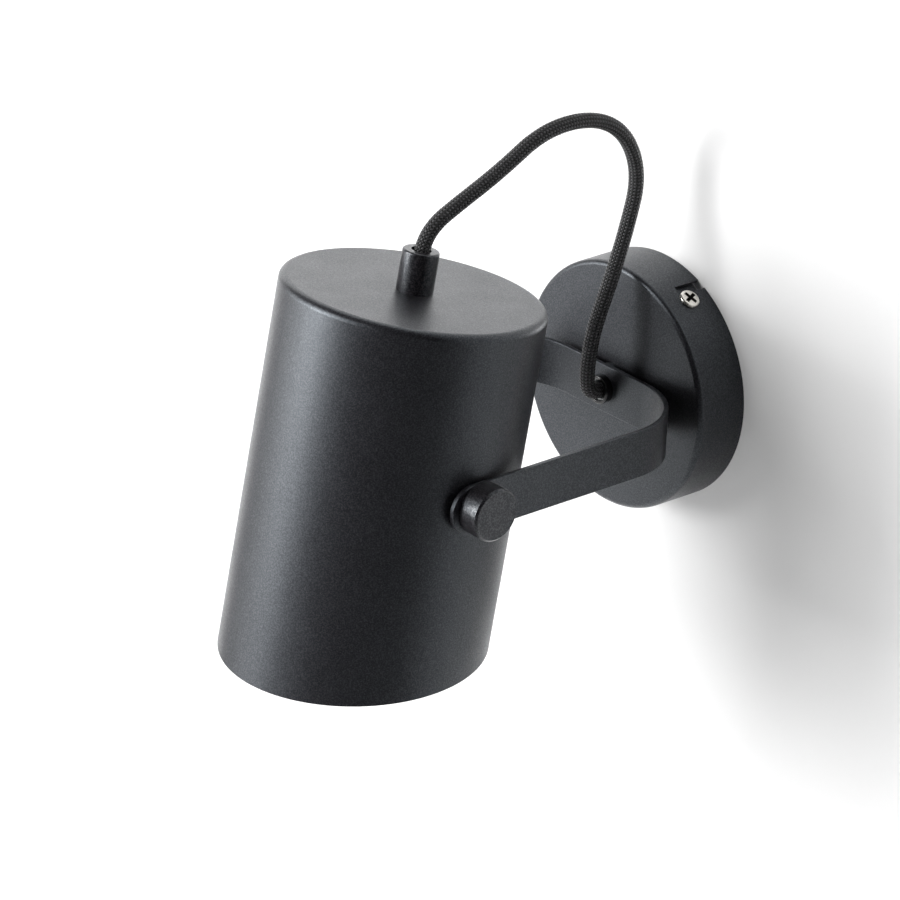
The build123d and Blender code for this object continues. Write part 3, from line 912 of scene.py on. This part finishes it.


# Cross-head screws: a turned head, cut by a tapered cross, whose recess is painted dark as shade
sideScrew = {
    "angles": (32, 212),  # degrees round the cup, from the top
    "cupRadius": 50 * mm,
    "fromWall": 10.5 * mm,
    "headRadius": 4 * mm,
    "headHeight": 1.5 * mm,
    "rimHeight": 0.5 * mm,
    "domePower": 0.35,  # the lower, the squarer the dome
    "domeSteps": 8,
    "neckLength": 1.3 * mm,
    "neckRadius": 1.9 * mm,
    "shankRadius": 2 * mm,
    "shankLength": 6 * mm,
    "shankAround": 32,
    "crossReach": 2.9 * mm,
    "crossWidth": 1.5 * mm,
    "crossDepth": 2.5 * mm,
    "crossTaper": 0.30,
    "crossTurn": 22,
    "recessBelow": 0.90,  # of the head's height, below which the cross is painted dark as shade
    "edge": 0.07 * mm,
    "edgeSegments": 2,
    "edgeAngle": 32,
    "smoothAngle": 50,
    "around": 64,
}


def meshFrom(shape, name):
    bmesh.ops.recalc_face_normals(shape, faces=shape.faces)
    mesh = bpy.data.meshes.new(name)
    shape.to_mesh(mesh)
    shape.free()
    return newObject(name, mesh)


def lathe(name, profile, around):
    # a closed turned solid: the profile runs from the axis round to the axis again
    turned = bmesh.new()
    rings = []
    for radius, height in profile:
        if radius == 0:
            rings.append([turned.verts.new((0, 0, height))])
            continue
        ring = []
        for step in range(around):
            angle = math.tau * step / around
            spot = (radius * math.cos(angle), radius * math.sin(angle), height)
            ring.append(turned.verts.new(spot))
        rings.append(ring)
    for low, high in zip(rings, rings[1:]):
        for step in range(around):
            after = (step + 1) % around
            corners = (low[step % len(low)], low[after % len(low)],
                       high[after % len(high)], high[step % len(high)])
            turned.faces.new(list(dict.fromkeys(corners)))
    return meshFrom(turned, name)


def taperedCross(name, reach, width, top, depth, taper):
    shape = bmesh.new()
    rings = []
    for height, factor in ((top, 1.0), (top - depth, taper)):
        long, half = reach * factor, width / 2 * factor
        corner = [(long, -half), (long, half), (half, half)]
        ring = []
        for quarter in range(4):
            turn = Matrix.Rotation(math.radians(90 * quarter), 2)
            for spot in corner:
                x, y = turn @ Vector(spot)
                ring.append(shape.verts.new((x, y, height)))
        rings.append(ring)
    upper, lower = rings
    count = len(upper)
    for step in range(count):
        after = (step + 1) % count
        shape.faces.new((upper[step], upper[after], lower[after], lower[step]))
    shape.faces.new(upper)
    shape.faces.new(lower)
    bmesh.ops.triangulate(shape, faces=shape.faces)
    return meshFrom(shape, name)


def crossHead(name, kind, finish):
    height, rim, radius = kind["headHeight"], kind["rimHeight"], kind["headRadius"]
    neck, depth = kind["neckRadius"], kind["neckLength"]
    profile = [(0, -depth), (neck, -depth), (neck, 0), (radius, 0), (radius, rim)]
    for step in range(1, kind["domeSteps"]):
        turn = math.pi / 2 * step / kind["domeSteps"]
        profile.append((radius * math.cos(turn) ** kind["domePower"],
                        rim + (height - rim) * math.sin(turn)))
    profile.append((0, height))
    head = lathe(name, profile, kind["around"])
    cutter = taperedCross(name + "Cutter", kind["crossReach"], kind["crossWidth"],
                          height + kind["edge"], kind["crossDepth"] + kind["edge"],
                          kind["crossTaper"])
    cut = head.modifiers.new("cut", "BOOLEAN")
    cut.operation = "DIFFERENCE"
    cut.solver = "EXACT"
    cut.object = cutter
    soft = head.modifiers.new("soft", "BEVEL")
    soft.width = kind["edge"]
    soft.segments = kind["edgeSegments"]
    soft.limit_method = "ANGLE"
    soft.angle_limit = math.radians(kind["edgeAngle"])
    bpy.context.view_layer.update()
    finished = head.evaluated_get(bpy.context.evaluated_depsgraph_get())
    shaped = bpy.data.meshes.new_from_object(finished)
    head.modifiers.clear()
    head.data = shaped
    bpy.data.objects.remove(cutter)
    shaped.materials.append(finish)
    shaped.materials.append(finishes["paintedRecessShade"])
    for face in shaped.polygons:
        face.use_smooth = True
        # the faces deep in the cross get the dark recess finish, painted shade
        nearAxis = math.hypot(face.center.x, face.center.y) < kind["crossReach"]
        inRecess = nearAxis and face.center.z < kind["recessBelow"] * height
        face.material_index = 1 if inRecess else 0
    shaped.set_sharp_from_angle(angle=math.radians(kind["smoothAngle"]))
    return head


def makeSideScrews():
    kind, finish, parts = sideScrew, finishes["nickel"], []
    for angle in kind["angles"]:
        turn = math.radians(angle)
        outwards = Vector((math.sin(turn), 0, math.cos(turn)))
        seat = outwards * kind["cupRadius"] - Vector((0, kind["fromWall"], 0))
        place = frameAt(seat, outwards, (0, -1, 0))
        head = crossHead("screwHead", kind, finish)
        head.data.transform(place @ Matrix.Rotation(math.radians(kind["crossTurn"]), 4, "Z"))
        foot = place @ Matrix.Translation((0, 0, -kind["shankLength"]))
        shank = threaded("screwShank", "sideScrew", kind["shankRadius"], 0.0,
                         kind["shankLength"] - kind["neckLength"], finish, foot,
                         kind["shankAround"])
        parts += [head, shank]
    standIn(joinPieces("sideScrewPair", parts), "side_screws")


makeSideScrews()
print("side screws made")


print("done")
